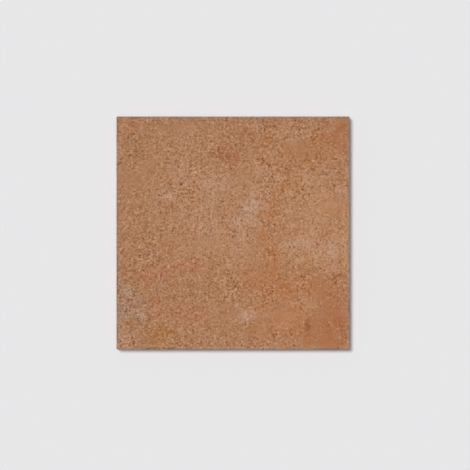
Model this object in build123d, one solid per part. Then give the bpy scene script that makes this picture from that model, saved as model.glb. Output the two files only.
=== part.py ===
from build123d import *
import math
import os

# A square terracotta-look floor tile, pressed and fired as one ceramic piece.
# It lies face up: the origin is the middle of its back, +Z is up and sizes are in millimetres.

# Plan and section
LENGTH = 200.0        # along X, over the edges
WIDTH = 200.0         # along Y, over the edges
THICKNESS = 9.0       # from the rib tips on the back to the face
EDGE_RADIUS = 1.0     # the die rounds the face's arrises and the four corners alike

# Sides: upright below the face, then leaning in towards the back so that the piece leaves its die
DRAFT_HEIGHT = 3.0    # from the back up to where the side stands upright
DRAFT_ANGLE = 5.0     # degrees from upright

# Key on the back: square pockets, with the ribs between them as the bearing surface
POCKET_SIDE = 15.0    # across a pocket's mouth
POCKET_DEPTH = 0.6
POCKET_DRAFT = 30.0   # degrees that a pocket's walls lean from upright
RIB_WIDTH = 3.0       # between two pockets, at the bearing surface
PLAIN_MARGIN = 8.0    # the least plain border between the pockets and the back's edge


def upright_part():
    """The face and the upright part of the sides, with the arrises and corners rounded."""
    block = Pos(Z=DRAFT_HEIGHT) * Box(
        LENGTH,
        WIDTH,
        THICKNESS - DRAFT_HEIGHT,
        align=(Align.CENTER, Align.CENTER, Align.MIN),
    )
    corners = block.edges().filter_by(Axis.Z)
    arrises = block.faces().sort_by(Axis.Z)[-1].edges()
    return fillet(corners + arrises, EDGE_RADIUS)


def drafted_part():
    """The lower part of the sides, which narrows towards the back."""
    outline = Pos(Z=DRAFT_HEIGHT) * RectangleRounded(LENGTH, WIDTH, EDGE_RADIUS)
    return extrude(outline, DRAFT_HEIGHT, dir=(0, 0, -1), taper=DRAFT_ANGLE)


def pocket_count(side):
    """How many pockets fit along a side of that length, inside the plain margin."""
    draft_inset = DRAFT_HEIGHT * math.tan(math.radians(DRAFT_ANGLE))
    room = side - 2 * (draft_inset + PLAIN_MARGIN)
    return int((room + RIB_WIDTH) // (POCKET_SIDE + RIB_WIDTH))


def key_pockets():
    """The pockets that are pressed into the back, centred on it."""
    pocket = extrude(Rectangle(POCKET_SIDE, POCKET_SIDE), POCKET_DEPTH, taper=POCKET_DRAFT)
    pitch = POCKET_SIDE + RIB_WIDTH
    return GridLocations(pitch, pitch, pocket_count(LENGTH), pocket_count(WIDTH)) * pocket


def make_tile():
    """The whole tile, as one solid."""
    return upright_part() + drafted_part() - key_pockets()


os.makedirs("parts", exist_ok=True)
tile = make_tile()
export_step(tile, "parts/tile.step")
print("tile volume in cubic centimetres:", round(tile.volume / 1000, 1))
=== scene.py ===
# Looks of a square terracotta-look floor tile: one pressed and fired piece that lies face up.
import math

import bpy
import numpy as np
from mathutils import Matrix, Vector


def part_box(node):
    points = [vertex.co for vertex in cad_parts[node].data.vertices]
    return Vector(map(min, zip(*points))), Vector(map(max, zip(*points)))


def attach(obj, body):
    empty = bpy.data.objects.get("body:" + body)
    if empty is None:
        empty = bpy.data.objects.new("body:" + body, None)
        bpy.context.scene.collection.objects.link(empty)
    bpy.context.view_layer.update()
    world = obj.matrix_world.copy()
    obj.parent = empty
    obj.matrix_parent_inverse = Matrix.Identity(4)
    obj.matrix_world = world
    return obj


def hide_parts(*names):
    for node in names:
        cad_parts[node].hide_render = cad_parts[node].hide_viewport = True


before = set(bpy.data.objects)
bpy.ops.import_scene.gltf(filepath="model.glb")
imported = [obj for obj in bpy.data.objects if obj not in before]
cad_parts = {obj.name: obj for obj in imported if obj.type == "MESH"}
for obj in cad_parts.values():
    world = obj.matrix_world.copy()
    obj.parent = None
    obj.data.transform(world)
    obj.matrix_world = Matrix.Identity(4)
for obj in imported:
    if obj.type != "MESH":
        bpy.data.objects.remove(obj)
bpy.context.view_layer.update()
MM = 0.001

# Size of the tile, from its solid
TILE_LOW, TILE_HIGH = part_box("tile")
LENGTH = TILE_HIGH.x - TILE_LOW.x
WIDTH = TILE_HIGH.y - TILE_LOW.y
THICKNESS = TILE_HIGH.z

# Section of the tile, as in its solid
EDGE_RADIUS = 1.0 * MM
DRAFT_HEIGHT = 3.0 * MM
DRAFT_ANGLE = 5.0
DRAFT_INSET = DRAFT_HEIGHT * math.tan(math.radians(DRAFT_ANGLE))
POCKET_SIDE = 15.0 * MM
POCKET_DEPTH = 0.6 * MM
POCKET_DRAFT = 30.0
POCKET_WALL = POCKET_DEPTH * math.tan(math.radians(POCKET_DRAFT))
RIB_WIDTH = 3.0 * MM
PLAIN_MARGIN = 8.0 * MM

# Bevel round the back, where the solid has a sharp edge
BACK_BEVEL = 0.25 * MM

# Fineness of the mesh
FACE_CELLS = 256
CORNER_STEPS = 6
ARRIS_STEPS = 4
UPRIGHT_STEPS = 5
DRAFT_STEPS = 3

# Relief of the face
GRAIN_HEIGHT = 0.025 * MM    # how far a grain stands above the mean face
PIT_DEPTH = 0.035 * MM       # how deep a common pit is
HOLE_DEPTH = 0.10 * MM       # how deep a larger, rarer pit is
HOLE_RANGE = (1.5, 2.6)      # dips of the noise at which such a pit begins and is at its deepest
SWELL_HEIGHT = 0.05 * MM     # slow waves of the pressed face
SCRATCH_DEPTH = 0.25 * MM
SCRATCH_WIDTH = 0.005        # half the width of a scratch, as a share of the side

# Coarseness of the grain
COARSENESS = 1.02            # what it is on average, away from rough and smooth zones
CLUSTERING = 0.15            # how much it varies all over
ROUGHENING = 0.60            # how much it gains in a rough zone
SMOOTHING = 0.70             # how much it loses in a smooth zone
COARSE_RANGE = (0.05, 2.4)   # its least and its most
SIDE_GRIT = 0.5              # what it is on the sides and the back

# Unevenness of the sides
SIDE_ROUGHNESS = 0.04 * MM   # how far they lie inside the section on average
SIDE_VARIATION = 0.3         # how much that varies, slowly and quickly
SLOW_WAVES = 40              # limit of the waves round the rim, for the slow and the quick part
QUICK_WAVES = 260
SLOW_SEED = 31
QUICK_SEED = 40

# Patches of colour have wavy outlines and broken tones
WARP = 0.009                 # how far an outline strays, as a share of the side
BREAKING = 0.13              # how much a patch's tone varies
VEIL = 0.08                  # strength of the paler and deeper blotches all over
VEIL_LEFT = 0.45             # share of that strength which they have on the left
VEIL_TURN = (0.4, 0.7)       # places across between which they grow to the whole of it
VEIL_OFF_VEIN = 0.8          # how much weaker they are along the vein
WARMTH = 0.053               # strength of the redder and greyer blotches all over
WASH_STRENGTH = 1.25         # strength of all washes of colour together
VEIN_RUST = 0.44             # strength of the rust vein
CORNER_DEEP = 0.43           # strength of the red-brown band in the upper right corner
CORNER_DUSK = 0.115          # strength of the darker band beside it
EDGE_AMBER = 0.49            # strength of the amber strip by the right edge
SHADE_REACH = 0.7 * MM       # how far the darker line of the left and back rims reaches over the face
WEAR_AND_SHADE_REACH = 1.2 * MM        # how far the wear and painted shade of the right and front rims reach over the face
RIM_BREAKING = 0.35          # how much the tone of a rim varies
HOLE_TONE = 0.08             # how dark a larger pit is
SCRATCH_TONE = 0.6           # how dark a scratch is


def smoothstep(low, high, values):
    """Zero below low, one above high, and smooth between them."""
    share = np.clip((values - low) / (high - low), 0.0, 1.0)
    return share * share * (3.0 - 2.0 * share)


# Plan of the face: rows run from front to back and columns from left to right
face_x = np.linspace(-LENGTH / 2 + EDGE_RADIUS, LENGTH / 2 - EDGE_RADIUS, FACE_CELLS + 1)
face_y = np.linspace(-WIDTH / 2 + EDGE_RADIUS, WIDTH / 2 - EDGE_RADIUS, FACE_CELLS + 1)
plan_x, plan_y = np.meshgrid(face_x, face_y)

BAND_SPREAD = 0.3            # how far a band of noise spreads round its wavelength, in natural logarithms
LEAST_FREQUENCY = 1e-6       # stands for none at all, so that it has a logarithm


def noise(seed, *bands):
    """Seeded noise over the face. Each band is a wavelength in millimetres and its strength."""
    source = np.fft.fft2(np.random.default_rng(seed).standard_normal(plan_x.shape))
    per_mm = np.fft.fftfreq(FACE_CELLS + 1, LENGTH / FACE_CELLS / MM)
    frequency = np.hypot(per_mm[:, None], per_mm[None, :])
    frequency[0, 0] = LEAST_FREQUENCY
    total = np.zeros(plan_x.shape)
    for wavelength, strength in bands:
        gain = np.exp(-((np.log(frequency * wavelength) / BAND_SPREAD) ** 2))
        layer = np.fft.ifft2(source * gain).real
        total += strength * layer / layer.std()
    return total


# Places on the face are shares of its side, from the left and from the top
across = plan_x / LENGTH + 0.5 + WARP * noise(11, (28, 0.8), (11, 0.5))
down = 0.5 - plan_y / WIDTH + WARP * noise(12, (28, 0.8), (11, 0.5))


def patches(*rows):
    """Soft oval patches, added up. Each is a strength, a place across and down, and two half widths."""
    total = np.zeros(plan_x.shape)
    for strength, middle_across, middle_down, half_across, half_down in rows:
        offset = ((across - middle_across) / half_across) ** 2 + ((down - middle_down) / half_down) ** 2
        total += strength * np.exp(-offset)
    return total


def band(*line):
    """A soft band along a line of points. Each is a place across and down, and a half width."""
    nearest = np.zeros(plan_x.shape)
    for start, end in zip(line, line[1:]):
        run_across, run_down, widening = np.subtract(end, start)
        from_across = across - start[0]
        from_down = down - start[1]
        along = (from_across * run_across + from_down * run_down) / (run_across ** 2 + run_down ** 2)
        along = np.clip(along, 0.0, 1.0)
        gap = np.hypot(from_across - along * run_across, from_down - along * run_down)
        half_width = start[2] + along * widening
        nearest = np.maximum(nearest, np.exp(-((gap / half_width) ** 2)))
    return nearest


# The rust vein runs in a shallow curve from the upper right to the lower middle
vein = band(
    (0.730, 0.295, 0.012), (0.705, 0.325, 0.020), (0.680, 0.365, 0.027), (0.665, 0.410, 0.027),
    (0.645, 0.467, 0.027), (0.640, 0.533, 0.027), (0.650, 0.600, 0.030), (0.685, 0.650, 0.022),
)

# Blotches all over the face, and the tones that break its patches
broken = 1.0 + BREAKING * noise(13, (14, 0.6), (7, 0.7), (4, 0.5))
veil = VEIL * noise(14, (28, 0.7), (16, 0.8), (9, 0.4))
veil *= VEIL_LEFT + (1.0 - VEIL_LEFT) * smoothstep(*VEIL_TURN, across)
veil *= 1.0 - VEIL_OFF_VEIN * vein
warmth = WARMTH * noise(15, (25, 0.6), (12, 0.5), (6, 0.6))


def pale_washes():
    """Shares of the pale washes: bloom beside the vein, lighter clay, and mist at the lower left."""
    bloom = patches(
        # Left of the vein
        (0.44, 0.588, 0.395, 0.052, 0.055), (0.32, 0.53, 0.468, 0.04, 0.035),
        (0.28, 0.27, 0.225, 0.05, 0.03), (0.22, 0.38, 0.265, 0.05, 0.03), (0.25, 0.445, 0.305, 0.06, 0.03),
        (0.20, 0.205, 0.33, 0.045, 0.03), (0.15, 0.36, 0.42, 0.06, 0.03), (0.18, 0.38, 0.49, 0.05, 0.03),
        (0.08, 0.40, 0.38, 0.20, 0.14), (0.10, 0.55, 0.61, 0.05, 0.035),
        # Right of it
        (0.63, 0.93, 0.575, 0.05, 0.04), (0.52, 0.795, 0.535, 0.05, 0.03), (0.16, 0.835, 0.28, 0.03, 0.025),
        (0.14, 0.655, 0.315, 0.03, 0.035), (0.08, 0.88, 0.355, 0.06, 0.04),
        (0.13, 0.74, 0.44, 0.035, 0.035), (0.13, 0.815, 0.66, 0.03, 0.025),
        # Near the upper and the lower edge
        (0.20, 0.595, 0.05, 0.03, 0.025), (0.20, 0.76, 0.08, 0.05, 0.035), (0.50, 0.555, 0.85, 0.048, 0.025),
        (0.36, 0.045, 0.93, 0.035, 0.03), (0.20, 0.43, 0.96, 0.03, 0.025),
    )
    light = patches(
        # Right of the vein
        (0.23, 0.85, 0.45, 0.12, 0.16), (0.24, 0.88, 0.36, 0.07, 0.05), (0.20, 0.85, 0.59, 0.13, 0.07),
        (0.15, 0.73, 0.30, 0.05, 0.03), (0.32, 0.84, 0.815, 0.035, 0.03), (0.10, 0.765, 0.81, 0.04, 0.04),
        # Left of it
        (0.15, 0.58, 0.24, 0.06, 0.06), (0.20, 0.48, 0.57, 0.16, 0.08), (0.10, 0.30, 0.625, 0.06, 0.03),
        # At the rims
        (0.60, 0.0, 0.14, 0.01, 0.025), (0.55, 0.0, 0.585, 0.01, 0.03), (0.50, 1.0, 0.225, 0.01, 0.02),
        (0.40, 1.0, 0.545, 0.01, 0.02), (0.30, 0.20, 0.0, 0.04, 0.01), (0.30, 0.33, 0.0, 0.03, 0.01),
    )
    mist = patches(
        (0.60, 0.04, 0.75, 0.025, 0.02), (0.34, 0.09, 0.78, 0.03, 0.025), (0.45, 0.10, 0.853, 0.045, 0.022),
        (0.45, 0.01, 0.84, 0.02, 0.03), (0.16, 0.93, 0.575, 0.045, 0.035), (0.07, 0.28, 0.10, 0.09, 0.08),
    )
    return {"bloom": bloom * broken + np.maximum(veil, 0.0), "light": light, "mist": mist * broken}


def red_washes():
    """Shares of the red washes: rust along the vein, deep corners, a flush, mauve and salmon, a stain."""
    rust = VEIN_RUST * vein + patches(
        # Below the vein
        (0.36, 0.60, 0.71, 0.08, 0.07), (0.36, 0.73, 0.72, 0.08, 0.07), (0.32, 0.86, 0.725, 0.10, 0.04),
        (0.12, 0.64, 0.72, 0.04, 0.035), (0.29, 0.70, 0.87, 0.08, 0.09), (0.27, 0.87, 0.97, 0.14, 0.04),
        (0.15, 0.85, 0.955, 0.05, 0.03),
        # Above it
        (0.26, 0.80, 0.16, 0.10, 0.05), (0.16, 0.72, 0.24, 0.03, 0.03), (0.20, 0.96, 0.12, 0.06, 0.08),
        (0.28, 0.635, 0.105, 0.05, 0.03), (0.34, 0.80, 0.222, 0.03, 0.025),
    )
    deep = CORNER_DEEP * band((1.00, 0.035, 0.030), (0.93, 0.070, 0.032), (0.85, 0.110, 0.025)) + patches(
        # In the lower right corner
        (0.51, 0.95, 0.875, 0.09, 0.13), (0.28, 0.82, 0.89, 0.045, 0.03), (0.20, 0.80, 0.93, 0.08, 0.03),
        (0.08, 0.88, 0.97, 0.05, 0.03),
        # Above that corner and beside the vein
        (0.28, 0.91, 0.675, 0.06, 0.018), (0.25, 0.90, 0.76, 0.02, 0.03), (0.12, 0.83, 0.735, 0.04, 0.03),
        (0.18, 0.72, 0.735, 0.025, 0.025), (0.12, 0.64, 0.72, 0.04, 0.035), (0.08, 0.65, 0.60, 0.03, 0.03),
        # In the upper right corner
        (0.20, 0.96, 0.115, 0.03, 0.035),
    )
    flush = patches(
        # Near the top
        (0.56, 0.455, 0.16, 0.05, 0.036), (0.42, 0.49, 0.19, 0.025, 0.02), (0.30, 0.53, 0.08, 0.025, 0.03),
        (0.36, 0.55, 0.11, 0.03, 0.03), (0.28, 0.66, 0.03, 0.03, 0.02),
        # By the left edge
        (0.15, 0.10, 0.49, 0.03, 0.03), (0.20, 0.13, 0.57, 0.03, 0.03), (0.15, 0.03, 0.68, 0.03, 0.03),
    )
    mauve = patches(
        (0.46, 0.29, 0.64, 0.09, 0.03), (0.46, 0.17, 0.68, 0.08, 0.025), (0.42, 0.30, 0.845, 0.11, 0.03),
        (0.18, 0.15, 0.80, 0.05, 0.05), (0.15, 0.78, 0.48, 0.04, 0.02),
    )
    salmon = patches(
        (0.30, 0.76, 0.84, 0.08, 0.06), (0.15, 0.70, 0.90, 0.06, 0.05), (0.12, 0.69, 0.955, 0.04, 0.03),
        (0.14, 0.88, 0.36, 0.06, 0.045), (0.20, 0.06, 0.03, 0.06, 0.02),
    )
    return {
        "rust": rust + np.maximum(-veil, 0.0),
        "deep": deep,
        "flush": flush * broken,
        "mauve": mauve * broken + np.maximum(warmth, 0.0),
        "salmon": salmon * broken,
        "stain": patches((0.7, 0.817, 0.889, 0.014, 0.022)),
    }


def earthy_washes():
    """Shares of the earthy washes: grey at the lower left, ochre by the lower edge, dusk and amber."""
    grey = patches(
        (0.45, 0.02, 0.85, 0.03, 0.03), (0.18, 0.05, 0.80, 0.05, 0.05), (0.12, 0.02, 0.70, 0.02, 0.10),
        (0.25, 0.01, 0.64, 0.02, 0.03),
    )
    ochre = patches(
        (0.60, 0.19, 0.94, 0.05, 0.03), (0.16, 0.60, 0.93, 0.10, 0.025), (0.15, 0.76, 0.935, 0.05, 0.02),
        (0.16, 0.83, 0.155, 0.08, 0.04), (0.20, 0.83, 0.73, 0.03, 0.025), (0.15, 0.20, 0.58, 0.025, 0.025),
    )
    dusk = CORNER_DUSK * band((0.95, 0.055, 0.035), (0.86, 0.120, 0.035), (0.78, 0.175, 0.035)) + patches(
        # In the upper left corner
        (0.24, 0.07, 0.12, 0.08, 0.08), (0.06, 0.15, 0.05, 0.12, 0.04), (0.35, 0.085, 0.105, 0.02, 0.02),
        (0.40, 0.09, 0.16, 0.02, 0.02),
        # Along the upper edge and below it
        (0.18, 0.50, 0.02, 0.60, 0.03), (0.44, 0.635, 0.105, 0.05, 0.03), (0.20, 0.80, 0.222, 0.03, 0.025),
        (0.20, 0.975, 0.155, 0.025, 0.035),
        # By the left edge and in the lower left corner
        (0.20, 0.11, 0.485, 0.03, 0.03), (0.08, 0.02, 0.50, 0.10, 0.60), (0.20, 0.07, 0.82, 0.12, 0.15),
        (0.16, 0.27, 0.75, 0.15, 0.08), (0.14, 0.35, 0.97, 0.35, 0.05), (0.30, 0.115, 0.895, 0.035, 0.03),
    )
    return {
        "grey": grey * broken + np.maximum(-warmth, 0.0),
        "ochre": ochre * broken,
        "dusk": dusk,
        "amber": EDGE_AMBER * band((0.978, 0.40, 0.010), (0.978, 0.66, 0.010)),
    }


def rim_washes():
    """Shares of the tints along the rims: a darker line, greyer wear mixed with painted shade on the right
    and front rims, and marks that break them.
    """
    from_left_or_back = np.minimum(plan_x + LENGTH / 2, WIDTH / 2 - plan_y) - EDGE_RADIUS
    from_right_or_front = np.minimum(LENGTH / 2 - plan_x, plan_y + WIDTH / 2) - EDGE_RADIUS
    shaded = np.exp(-((from_left_or_back / SHADE_REACH) ** 2))
    # The right and front rims face away from the key light, beside the cast shadow: their greyer tint is
    # partly wear and partly painted shade
    rims_away_from_key = np.exp(-((from_right_or_front / WEAR_AND_SHADE_REACH) ** 2))
    uneven = 1.0 + RIM_BREAKING * noise(16, (22, 0.6), (9, 0.8))
    pale_marks = patches(
        # On the left rim
        (1.0, 0.0, 0.14, 0.03, 0.025), (0.9, 0.0, 0.575, 0.03, 0.04), (1.0, 0.0, 0.84, 0.03, 0.045),
        (0.9, 0.0, 0.99, 0.03, 0.025),
        # On the back rim
        (0.9, 0.20, 0.0, 0.045, 0.03), (1.0, 0.33, 0.0, 0.04, 0.03), (0.3, 0.46, 0.0, 0.02, 0.03),
        (0.8, 0.54, 0.0, 0.02, 0.03), (0.8, 0.62, 0.0, 0.02, 0.03), (0.7, 0.70, 0.0, 0.025, 0.03),
        (0.8, 0.87, 0.0, 0.045, 0.03),
    )
    dark_marks = patches(
        # On the front rim
        (0.6, 0.14, 1.0, 0.025, 0.03), (0.7, 0.21, 1.0, 0.04, 0.03), (0.5, 0.26, 1.0, 0.025, 0.03),
        (0.2, 0.66, 1.0, 0.02, 0.03), (0.2, 0.78, 1.0, 0.02, 0.03), (0.7, 0.89, 1.0, 0.035, 0.03),
        (0.4, 0.95, 1.0, 0.03, 0.03),
        # On the right rim
        (0.4, 1.0, 0.05, 0.03, 0.04), (0.3, 1.0, 0.18, 0.03, 0.02), (0.2, 1.0, 0.34, 0.03, 0.02),
        (0.2, 1.0, 0.50, 0.03, 0.02), (0.5, 1.0, 0.81, 0.03, 0.04), (0.3, 1.0, 0.91, 0.03, 0.03),
        # On the left and back rims
        (0.4, 0.0, 0.07, 0.03, 0.025), (0.5, 0.0, 0.705, 0.03, 0.05), (0.35, 0.0, 0.91, 0.03, 0.025),
        (0.5, 0.0, 0.0, 0.02, 0.02), (0.3, 0.09, 0.0, 0.025, 0.03),
    )
    return {
        "wear_and_painted_shade": uneven * rims_away_from_key + pale_marks * shaded,
        "shade": uneven * shaded * (1.0 - pale_marks),
        "scuff": dark_marks * np.maximum(shaded, rims_away_from_key),
    }


def grain_coarseness():
    """How coarse the grain is over the face: about one, more in its rough zones, less in its smooth ones."""
    rough = patches(
        # Beside the vein and below it
        (1.5, 0.51, 0.74, 0.04, 0.045), (1.1, 0.67, 0.285, 0.04, 0.06), (0.5, 0.63, 0.20, 0.05, 0.025),
        (0.6, 0.80, 0.29, 0.03, 0.06), (0.4, 0.46, 0.45, 0.04, 0.04), (0.8, 0.66, 0.76, 0.03, 0.03),
        (0.8, 0.79, 0.715, 0.03, 0.03), (0.6, 0.58, 0.85, 0.03, 0.025), (0.3, 0.94, 0.70, 0.03, 0.02),
        # In the left part
        (0.8, 0.13, 0.58, 0.04, 0.03), (0.9, 0.12, 0.655, 0.03, 0.03), (0.7, 0.03, 0.77, 0.05, 0.06),
        (0.8, 0.35, 0.235, 0.03, 0.03), (0.8, 0.27, 0.325, 0.06, 0.035), (0.8, 0.12, 0.86, 0.04, 0.025),
        (0.6, 0.07, 0.13, 0.04, 0.04),
        # Along the lower and the upper edge
        (0.8, 0.03, 0.97, 0.05, 0.04), (0.6, 0.25, 0.97, 0.10, 0.03), (0.6, 0.80, 0.045, 0.06, 0.03),
        (0.7, 0.63, 0.05, 0.03, 0.03),
    )
    smooth = patches(
        # In the left part
        (0.8, 0.05, 0.26, 0.09, 0.06), (0.4, 0.14, 0.19, 0.04, 0.04), (0.9, 0.28, 0.045, 0.06, 0.035),
        (0.8, 0.225, 0.535, 0.03, 0.03), (0.6, 0.41, 0.55, 0.08, 0.03), (0.7, 0.44, 0.86, 0.07, 0.035),
        # Along the vein and beside it
        (0.8, 0.56, 0.255, 0.04, 0.03), (0.6, 0.61, 0.51, 0.03, 0.04), (0.4, 0.56, 0.60, 0.06, 0.035),
        (0.8, 0.67, 0.65, 0.04, 0.03), (0.5, 0.585, 0.69, 0.03, 0.05), (0.5, 0.725, 0.73, 0.03, 0.04),
        # In the upper right and by the right edge
        (0.9, 0.79, 0.14, 0.05, 0.035), (0.9, 0.96, 0.07, 0.04, 0.08), (0.9, 0.94, 0.40, 0.07, 0.05),
        # In the lower right
        (1.4, 0.70, 0.86, 0.07, 0.04), (1.0, 0.60, 0.92, 0.04, 0.025), (0.9, 0.84, 0.90, 0.05, 0.04),
        (1.3, 0.94, 0.84, 0.09, 0.05), (0.9, 0.87, 0.74, 0.03, 0.06), (1.4, 0.88, 0.97, 0.08, 0.04),
    )
    cluster = noise(21, (24, 0.4), (13, 0.6), (7, 0.7))
    coarse = COARSENESS + CLUSTERING * cluster + ROUGHENING * rough - SMOOTHING * smooth
    return np.clip(coarse, *COARSE_RANGE)


# Grain, larger pits and scratches of the face
coarseness = grain_coarseness()
grain = noise(22, (18, 0.6), (12, 0.7), (8.0, 0.7), (5.5, 0.8), (4.2, 0.9))
grain = coarseness * grain / grain.std()
holes = smoothstep(*HOLE_RANGE, -noise(23, (5.5, 0.8), (3.2, 0.6)) * coarseness)
scratches = np.maximum(
    band((0.919, 0.690, SCRATCH_WIDTH), (0.967, 0.671, SCRATCH_WIDTH)),
    band((0.056, 0.665, SCRATCH_WIDTH), (0.079, 0.682, SCRATCH_WIDTH)),
)


def face_relief():
    """Heights of the face below its highest grain."""
    heights = np.where(grain > 0.0, GRAIN_HEIGHT * np.tanh(grain), PIT_DEPTH * grain)
    heights += SWELL_HEIGHT * noise(24, (70, 1.0), (40, 0.6))
    heights -= HOLE_DEPTH * holes + SCRATCH_DEPTH * scratches
    return heights - heights.max()


def steps(count):
    """Shares from the first step to one."""
    return [number / count for number in range(1, count + 1)]


def rim_section():
    """Rings from the face to the back: each one's reach beyond the face, height and turn from level."""
    rings = []
    for share in steps(ARRIS_STEPS):
        turn = math.pi / 2 * share
        rings.append((EDGE_RADIUS * math.sin(turn), THICKNESS - EDGE_RADIUS * (1 - math.cos(turn)), turn))
    upright_top = THICKNESS - EDGE_RADIUS
    for share in steps(UPRIGHT_STEPS):
        rings.append((EDGE_RADIUS, upright_top + (DRAFT_HEIGHT - upright_top) * share, math.pi / 2))
    for share in steps(DRAFT_STEPS):
        height = DRAFT_HEIGHT + (BACK_BEVEL - DRAFT_HEIGHT) * share
        rings.append((EDGE_RADIUS - DRAFT_INSET * (1 - height / DRAFT_HEIGHT), height, math.pi / 2))
    back_reach = EDGE_RADIUS - DRAFT_INSET
    rings.append((back_reach - BACK_BEVEL, 0.0, math.pi * 0.75))
    rings.append((back_reach - 2 * BACK_BEVEL, 0.0, math.pi))
    return rings


def rim_slots():
    """Rows, columns and outward turns of the slots round the face, with a fan of slots at each corner."""
    onward = np.arange(FACE_CELLS)
    start = np.zeros(FACE_CELLS, int)
    end = start + FACE_CELLS
    homeward = FACE_CELLS - onward
    sides = (start, onward), (onward, end), (end, homeward), (homeward, start)
    rows, columns, turns = [], [], []
    for number, (side_rows, side_columns) in enumerate(sides):
        outward = 90.0 * (number - 1)
        fan = np.linspace(outward - 90.0, outward, CORNER_STEPS, endpoint=False)
        rows += [side_rows[:1].repeat(CORNER_STEPS), side_rows]
        columns += [side_columns[:1].repeat(CORNER_STEPS), side_columns]
        turns += [fan, np.full(FACE_CELLS, outward)]
    return np.concatenate(rows), np.concatenate(columns), np.radians(np.concatenate(turns))


# Rim of the face: where each slot starts, the way it faces and the relief there
relief = face_relief()
rim_rows, rim_columns, rim_turns = rim_slots()
rim_place = np.stack([face_x[rim_columns], face_y[rim_rows]], 1)
rim_outward = np.stack([np.cos(rim_turns), np.sin(rim_turns)], 1)
rim_relief = relief[rim_rows, rim_columns]
SLOTS = len(rim_turns)
SECTION = rim_section()

# How much each ring of the rim keeps of the face's relief and looks
FACE_SHARES = [max(math.cos(turn), 0.0) for reach, height, turn in SECTION]


def ring_noise(seed, waves):
    """Seeded noise round the rim, with fewer waves than that limit."""
    spectrum = np.fft.rfft(np.random.default_rng(seed).standard_normal(SLOTS))
    spectrum[0] = 0.0
    spectrum[waves:] = 0.0
    values = np.fft.irfft(spectrum, SLOTS)
    return values / values.std()


def ring_points():
    """Points of each ring of the rim, one slot after another."""
    slow = ring_noise(SLOW_SEED, SLOW_WAVES)
    rings = []
    for number, (reach, height, turn) in enumerate(SECTION):
        quick = ring_noise(QUICK_SEED + number, QUICK_WAVES)
        inset = SIDE_ROUGHNESS * np.clip(1.0 + SIDE_VARIATION * (quick + slow), 0.0, 2.0)
        place = rim_place + rim_outward * (reach - inset * math.sin(turn))[:, None]
        rings.append(np.column_stack([place, height + rim_relief * FACE_SHARES[number]]))
    return rings


def pocket_lines(side):
    """Lines across the back that follow its pockets, and how deep each line lies as a share of a pocket."""
    pitch = POCKET_SIDE + RIB_WIDTH
    count = int((side - 2 * PLAIN_MARGIN + RIB_WIDTH) / pitch)
    first = -(count * pitch - RIB_WIDTH) / 2
    edge = side / 2 - DRAFT_INSET - 3 * BACK_BEVEL
    wall = np.array([0.0, 0.5, 1.0, 1.5]) * POCKET_WALL
    floor_lines = np.array([1.0, 2.0]) / 3.0 * POCKET_SIDE
    across_pocket = np.concatenate([wall, floor_lines, POCKET_SIDE - wall[::-1]])
    margin = [-edge, (first - edge) / 2]
    depth = smoothstep(0.0, wall[-1], np.minimum(across_pocket, POCKET_SIDE - across_pocket))
    places = [first + number * pitch + across_pocket for number in range(count)]
    level = np.zeros(len(margin))
    return (
        np.concatenate([margin, *places, -np.array(margin)[::-1]]),
        np.concatenate([level, *[depth] * count, level]),
    )


def back_points():
    """Points of the back: rows from front to back, columns from left to right."""
    lines_x, depth_x = pocket_lines(LENGTH)
    lines_y, depth_y = pocket_lines(WIDTH)
    x, y = np.meshgrid(lines_x, lines_y)
    return np.stack([x, y, POCKET_DEPTH * np.minimum(depth_y[:, None], depth_x[None, :])], 2)


# Points of the tile and their numbers: the face, the rings and the back
face_points = np.stack([plan_x, plan_y, THICKNESS + relief], 2)
back = back_points()
points = np.concatenate([face_points.reshape(-1, 3), *ring_points(), back.reshape(-1, 3)])
face_numbers = np.arange(plan_x.size).reshape(plan_x.shape)
ring_numbers = face_numbers.size + np.arange(len(SECTION) * SLOTS).reshape(len(SECTION), SLOTS)
back_numbers = face_numbers.size + ring_numbers.size + np.arange(back[:, :, 0].size).reshape(back.shape[:2])


def grid_quads(numbers):
    """Quads between the rows and columns of a grid of point numbers, counter-clockwise in plan."""
    corners = numbers[:-1, :-1], numbers[:-1, 1:], numbers[1:, 1:], numbers[1:, :-1]
    return np.stack([corner.ravel() for corner in corners], 1)


def square_loop(numbers):
    """The rim of a grid of point numbers, counter-clockwise from the front left corner."""
    return np.concatenate([numbers[0, :-1], numbers[:-1, -1], numbers[-1, :0:-1], numbers[:0:-1, 0]])


FRONT_LEFT = -0.75 * math.pi    # the way from the middle to the front left corner
TURN_MARGIN = 1e-9              # keeps a point right on that line at the start of its loop


def turns_from_corner(loop):
    """How far round the middle each point of a loop lies from the front left corner, and the whole turn."""
    angle = np.arctan2(points[loop, 1], points[loop, 0]) - FRONT_LEFT
    return np.append(np.mod(angle + TURN_MARGIN, 2 * math.pi), 2 * math.pi)


def stitched(outer, inner):
    """Triangles between two loops of point numbers that run round the middle from the front left corner."""
    outer_turns = turns_from_corner(outer)
    inner_turns = turns_from_corner(inner)
    triangles = []
    outer_step = inner_step = 0
    while outer_step < len(outer) or inner_step < len(inner):
        corners = [outer[outer_step % len(outer)], inner[inner_step % len(inner)]]
        inner_done = inner_step == len(inner)
        outer_left = outer_step < len(outer)
        if inner_done or (outer_left and outer_turns[outer_step + 1] <= inner_turns[inner_step + 1]):
            outer_step += 1
            triangles.append([*corners, outer[outer_step % len(outer)]])
        else:
            inner_step += 1
            triangles.append([*corners, inner[inner_step % len(inner)]])
    return triangles


def face_and_sides():
    """Polygons of the face and of the rim down to the back's bevel."""
    polygons = grid_quads(face_numbers).tolist()
    loops = [face_numbers[rim_rows, rim_columns], *ring_numbers]
    for inner, outer in zip(loops, loops[1:]):
        quads = np.stack([inner, outer, np.roll(outer, -1), np.roll(inner, -1)], 1)
        polygons += [list(dict.fromkeys(quad)) for quad in quads.tolist()]
    return polygons


def back_face():
    """Polygons of the back, inside the last ring."""
    last_ring = np.roll(ring_numbers[-1], -(CORNER_STEPS // 2))
    polygons = stitched(last_ring, square_loop(back_numbers))
    return polygons + grid_quads(back_numbers)[:, ::-1].tolist()


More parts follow.
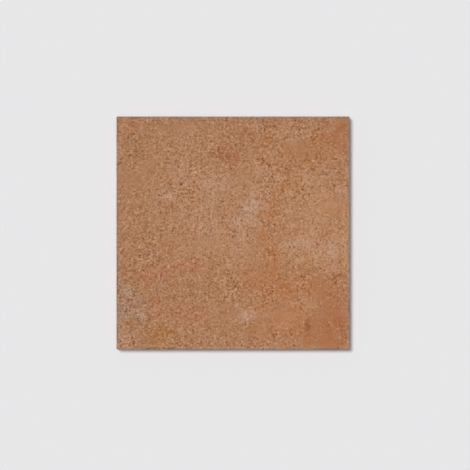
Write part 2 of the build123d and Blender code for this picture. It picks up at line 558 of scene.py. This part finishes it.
# The tile's mesh
top_polygons = face_and_sides()
polygons = top_polygons + back_face()
mesh = bpy.data.meshes.new("terracotta_tile")
mesh.from_pydata(points.tolist(), [], polygons)
mesh.polygons.foreach_set("use_smooth", [True] * len(polygons))
tile = bpy.data.objects.new("terracotta_tile", mesh)
bpy.context.scene.collection.objects.link(tile)

# Shares of the flat map that the face with its sides and the back take, and the gap beside them
MAP_TOP = 0.78
MAP_BACK = 0.20
MAP_GAP = 0.005


def bake_map():
    """A flat map of the mesh: the face with the sides folded out round it, and the back beside them."""
    section = np.array([(0.0, THICKNESS)] + [(reach, height) for reach, height, turn in SECTION])
    folded_out = np.cumsum(np.hypot(*np.diff(section, axis=0).T))
    top_side = LENGTH - 2 * EDGE_RADIUS + 2 * folded_out[-1]
    ring_places = [rim_place + rim_outward * length for length in folded_out]
    top_places = np.concatenate([points[:face_numbers.size, :2], *ring_places]) / top_side + 0.5
    back_places = points[:, :2] * (-1.0, 1.0) / LENGTH + 0.5
    corner = np.empty(len(mesh.loops), np.int32)
    mesh.loops.foreach_get("vertex_index", corner)
    top_corners = sum(len(polygon) for polygon in top_polygons)
    places = np.concatenate([
        MAP_GAP + MAP_TOP * top_places[corner[:top_corners]],
        1.0 - MAP_GAP - MAP_BACK + MAP_BACK * back_places[corner[top_corners:]],
    ])
    mesh.uv_layers.new(name="OFBake").uv.foreach_set("vector", places.ravel().astype(np.float32))


def store(name, on_face, elsewhere):
    """Keeps a value on the mesh's points: over the face, fading down the arris to what it is elsewhere."""
    values = [on_face.ravel()]
    for share in FACE_SHARES:
        values.append(on_face[rim_rows, rim_columns] * share + (1.0 - share) * elsewhere)
    values.append(np.full(back_numbers.size, elsewhere))
    attribute = mesh.attributes.new(name, "FLOAT", "POINT")
    attribute.data.foreach_set("value", np.concatenate(values).astype(np.float32))


bake_map()
for name, share in (pale_washes() | red_washes() | earthy_washes() | rim_washes()).items():
    store(name, np.clip(WASH_STRENGTH * share, 0.0, 1.0), 0.0)
store("grain", grain * (1.0 - scratches), 0.0)
store("grit", coarseness * (1.0 - scratches), SIDE_GRIT)
store("hollows", np.clip(HOLE_TONE * holes + SCRATCH_TONE * scratches, 0.0, 1.0), 0.0)
store("body", np.zeros(plan_x.shape), 1.0)


def linear(red, green, blue):
    """A colour as a screen shows it, 0 to 255, as linear light."""
    levels = np.array([red, green, blue]) / 255.0
    light = np.where(levels <= 0.04045, levels / 12.92, ((levels + 0.055) / 1.055) ** 2.4)
    return (*light.tolist(), 1.0)


CLAY = np.array([168.0, 120.5, 82.0])    # the plain clay as a screen shows it


def clay(*shift):
    """The plain clay's colour, shifted by these steps of red, green and blue."""
    return linear(*(CLAY + shift))


# Washes of colour, from the lowest to the topmost
WASHES = (
    ("bloom", clay(24, 34, 48)),
    ("light", clay(24, 24, 24)),
    ("dusk", clay(-21, -17, -16)),
    ("rust", clay(7, -13, -23)),
    ("deep", clay(-6, -32, -37)),
    ("flush", clay(-12, -26, -24)),
    ("mauve", clay(5, -12, -4)),
    ("salmon", clay(20, 2, 0)),
    ("grey", clay(-26, -4, 24)),
    ("mist", clay(2, 28, 46)),
    ("ochre", clay(-4, -16, -32)),
    ("stain", clay(-30, -46, -46)),
    ("amber", clay(28, 20, 8)),
    ("body", clay(14, 19, 28)),
    # Greyer tint of the rims: wear, and on the right and front rims also painted shade
    ("wear_and_painted_shade", clay(-8, 13, 36)),
    ("shade", clay(-25, -5, 11)),
    ("scuff", clay(-52, -36, -20)),
)

# Grain of the clay: colours, and how far they show
GRAIN = linear(214, 166, 135)
PIT = linear(107, 55, 5)
GRAIN_SHARE = 0.245          # how far a grain of common height turns to the grain's colour
PIT_SHARE = 0.205            # how far a pit of common depth turns to the pit's colour
PIT_SKEW = 0.045             # how much further a deep one turns

# Sizes and heights of its layers: the mesh's own coarse grain, middle, fine and finest specks, and sand
COARSE = 0.32
MIDDLE = 0.6
MIDDLE_SIZE = 2.8 * MM
FINE = 2.05
FINE_SIZE = 1.65 * MM
SPECK = 0.15
SPECK_SIZE = 0.9 * MM
SAND = 1.8
SAND_SIZE = 0.35 * MM
SOFT_RANGE = (0.1, 0.9)      # levels of soft noise that stand for the deepest and the highest
SHARP_RANGE = (0.3, 0.7)     # the same for noise with finer detail
SOFT_DISTORTION = 0.3

# Surface of the clay
PIT_ROUGHNESS = 0.85
GRAIN_ROUGHNESS = 0.7
CLAY_SPECULAR = 0.25
BUMP_STRENGTH = 0.5
BUMP_HEIGHT = 0.1 * MM


class Graph:
    """A material's nodes, made one by one."""

    def __init__(self, name):
        self.material = bpy.data.materials.new(name)
        self.material.use_nodes = True
        self.tree = self.material.node_tree
        self.shader = self.tree.nodes["Principled BSDF"]

    def node(self, kind, **settings):
        """A new node with these settings."""
        made = self.tree.nodes.new(kind)
        for key, value in settings.items():
            setattr(made, key, value)
        return made

    def put(self, socket, value):
        """Links a node's output to a socket, or sets the socket to a plain value."""
        if isinstance(value, bpy.types.NodeSocket):
            self.tree.links.new(value, socket)
        else:
            socket.default_value = value

    def kept(self, name):
        """A value that the mesh keeps on its points."""
        return self.node("ShaderNodeAttribute", attribute_name=name).outputs["Fac"]

    def math(self, operation, *values):
        """The result of one arithmetic step on these values."""
        made = self.node("ShaderNodeMath", operation=operation)
        for socket, value in zip(made.inputs, values):
            self.put(socket, value)
        return made.outputs["Value"]

    def mix(self, share, low, high):
        """A colour between two others. The node's colour sockets share their names, so they go by number."""
        made = self.node("ShaderNodeMix", data_type="RGBA")
        self.put(made.inputs[0], share)
        self.put(made.inputs[6], low)
        self.put(made.inputs[7], high)
        return made.outputs[2]

    def remap(self, value, span, to_low, to_high):
        """A value, stretched from one span to another."""
        made = self.node("ShaderNodeMapRange")
        self.put(made.inputs["Value"], value)
        self.put(made.inputs["From Min"], span[0])
        self.put(made.inputs["From Max"], span[1])
        self.put(made.inputs["To Min"], to_low)
        self.put(made.inputs["To Max"], to_high)
        return made.outputs["Result"]

    def noise(self, size, **inputs):
        """Noise in the object's own space, from the face's level, with features of that size in metres."""
        made = self.node("ShaderNodeTexNoise")
        from_face = self.node("ShaderNodeVectorMath", operation="SUBTRACT")
        self.put(from_face.inputs[0], self.node("ShaderNodeTexCoord").outputs["Object"])
        self.put(from_face.inputs[1], (0.0, 0.0, THICKNESS))
        self.put(made.inputs["Vector"], from_face.outputs["Vector"])
        self.put(made.inputs["Scale"], 1.0 / size)
        for key, value in inputs.items():
            self.put(made.inputs[key], value)
        return made.outputs["Fac"]

    def soft_specks(self, size, height):
        """Soft specks of that size, as high and as deep as the height."""
        soft = self.noise(size, Detail=0.0, Distortion=SOFT_DISTORTION)
        return self.remap(soft, SOFT_RANGE, -height, height)


def fired_clay():
    """Mottled clay: washes of colour, then pale grains and dark pits, over a plainer body elsewhere."""
    graph = Graph("fired_clay")
    colour = clay(0, 0, 0)
    for name, tint in WASHES:
        colour = graph.mix(graph.kept(name), colour, tint)
    speck = graph.noise(SPECK_SIZE, Detail=3.0, Roughness=0.6)
    sand = graph.noise(SAND_SIZE, Detail=3.0, Roughness=0.7)
    fine = graph.math("ADD", graph.soft_specks(MIDDLE_SIZE, MIDDLE), graph.soft_specks(FINE_SIZE, FINE))
    fine = graph.math("ADD", fine, graph.remap(speck, SHARP_RANGE, -SPECK, SPECK))
    coarse = graph.math("MULTIPLY", graph.kept("grain"), COARSE)
    height = graph.math("MULTIPLY_ADD", fine, graph.kept("grit"), coarse)
    height = graph.math("ADD", height, graph.remap(sand, SHARP_RANGE, -SAND, SAND))
    colour = graph.mix(graph.math("MULTIPLY", height, GRAIN_SHARE), colour, GRAIN)
    depth = graph.math("MAXIMUM", graph.math("MULTIPLY", height, -1.0), 0.0)
    pit_share = graph.math("MULTIPLY", depth, graph.math("MULTIPLY_ADD", depth, PIT_SKEW, PIT_SHARE))
    colour = graph.mix(pit_share, colour, PIT)
    colour = graph.mix(graph.kept("hollows"), colour, PIT)
    bump = graph.node("ShaderNodeBump")
    graph.put(bump.inputs["Strength"], BUMP_STRENGTH)
    graph.put(bump.inputs["Distance"], BUMP_HEIGHT)
    graph.put(bump.inputs["Height"], graph.math("ADD", speck, sand))
    roughness = graph.remap(speck, SHARP_RANGE, PIT_ROUGHNESS, GRAIN_ROUGHNESS)
    graph.put(graph.shader.inputs["Base Color"], colour)
    graph.put(graph.shader.inputs["Roughness"], roughness)
    graph.put(graph.shader.inputs["Specular IOR Level"], CLAY_SPECULAR)
    graph.put(graph.shader.inputs["Normal"], bump.outputs["Normal"])
    return graph.material


mesh.materials.append(fired_clay())
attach(tile, "root")
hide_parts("tile")

# Stage: a plain pale floor
FLOOR_REACH = 6.0
FLOOR_CORNERS = ((-1, -1), (1, -1), (1, 1), (-1, 1))
FLOOR_ROUGHNESS = 0.9
FLOOR_SPECULAR = 0.1
PALE = linear(231.5, 231, 232.5)


def plaster():
    """Plain matt plaster."""
    graph = Graph("plaster")
    graph.put(graph.shader.inputs["Base Color"], PALE)
    graph.put(graph.shader.inputs["Roughness"], FLOOR_ROUGHNESS)
    graph.put(graph.shader.inputs["Specular IOR Level"], FLOOR_SPECULAR)
    return graph.material


floor_mesh = bpy.data.meshes.new("floor")
floor_points = [(x * FLOOR_REACH, y * FLOOR_REACH, 0.0) for x, y in FLOOR_CORNERS]
floor_mesh.from_pydata(floor_points, [], [(0, 1, 2, 3)])
floor_mesh.materials.append(plaster())
floor = bpy.data.objects.new("floor", floor_mesh)
bpy.context.scene.collection.objects.link(floor)

# Light: shares of a plain level, which add up to one
WORLD_SHARE = 0.25
TOP_SHARE = 0.13
KEY_SHARE = 0.62
KEY_LEAN = (0.335, -0.285)    # how far the key light runs right and to the front for each unit down
KEY_SPREAD = 22.0
TOP_SPREAD = 50.0
WHITE = (1.0, 1.0, 1.0, 1.0)


def sun(name, share, lean, spread):
    """A far soft lamp that gives a level face that share of light."""
    direction = Vector((*lean, -1.0))
    lamp = bpy.data.lights.new(name, "SUN")
    lamp.angle = math.radians(spread)
    lamp.energy = math.pi * share * direction.length
    holder = bpy.data.objects.new(name, lamp)
    holder.rotation_euler = direction.to_track_quat("-Z", "Y").to_euler()
    bpy.context.scene.collection.objects.link(holder)


def studio_world():
    """Even light from all round, and a pale backdrop for what looks past the floor."""
    world = bpy.data.worlds.new("studio")
    world.use_nodes = True
    nodes = world.node_tree.nodes
    links = world.node_tree.links
    light = nodes["Background"]
    light.inputs["Color"].default_value = WHITE
    light.inputs["Strength"].default_value = WORLD_SHARE
    backdrop = nodes.new("ShaderNodeBackground")
    backdrop.inputs["Color"].default_value = PALE
    light_path = nodes.new("ShaderNodeLightPath")
    seen = nodes.new("ShaderNodeMath")
    seen.operation = "MAXIMUM"
    links.new(light_path.outputs["Is Camera Ray"], seen.inputs[0])
    links.new(light_path.outputs["Is Glossy Ray"], seen.inputs[1])
    choose = nodes.new("ShaderNodeMixShader")
    links.new(seen.outputs[0], choose.inputs["Fac"])
    links.new(light.outputs["Background"], choose.inputs[1])
    links.new(backdrop.outputs["Background"], choose.inputs[2])
    links.new(choose.outputs["Shader"], nodes["World Output"].inputs["Surface"])
    return world


sun("key", KEY_SHARE, KEY_LEAN, KEY_SPREAD)
sun("top", TOP_SHARE, (0.0, 0.0), TOP_SPREAD)
bpy.context.scene.world = studio_world()

# Camera: straight above, with the tile where it lies in a square picture
PICTURE = 470.0                  # side of the picture in pixels
TILE_PIXELS = 233.4              # side of the tile there
TILE_CENTRE = (233.07, 233.07)   # its middle there, from the left and from the top
LENS = 135.0
SENSOR = 36.0
CLIP_END = 100.0


def camera_above():
    """A camera that looks straight down on the tile."""
    data = bpy.data.cameras.new("camera")
    data.lens = LENS
    data.sensor_width = SENSOR
    data.clip_end = CLIP_END
    pixel = LENGTH / TILE_PIXELS
    holder = bpy.data.objects.new("camera", data)
    holder.location = (
        (PICTURE / 2 - TILE_CENTRE[0]) * pixel,
        (TILE_CENTRE[1] - PICTURE / 2) * pixel,
        THICKNESS + PICTURE * pixel * LENS / SENSOR,
    )
    bpy.context.scene.collection.objects.link(holder)
    return holder


bpy.context.scene.camera = camera_above()
bpy.context.scene.view_settings.view_transform = "Standard"
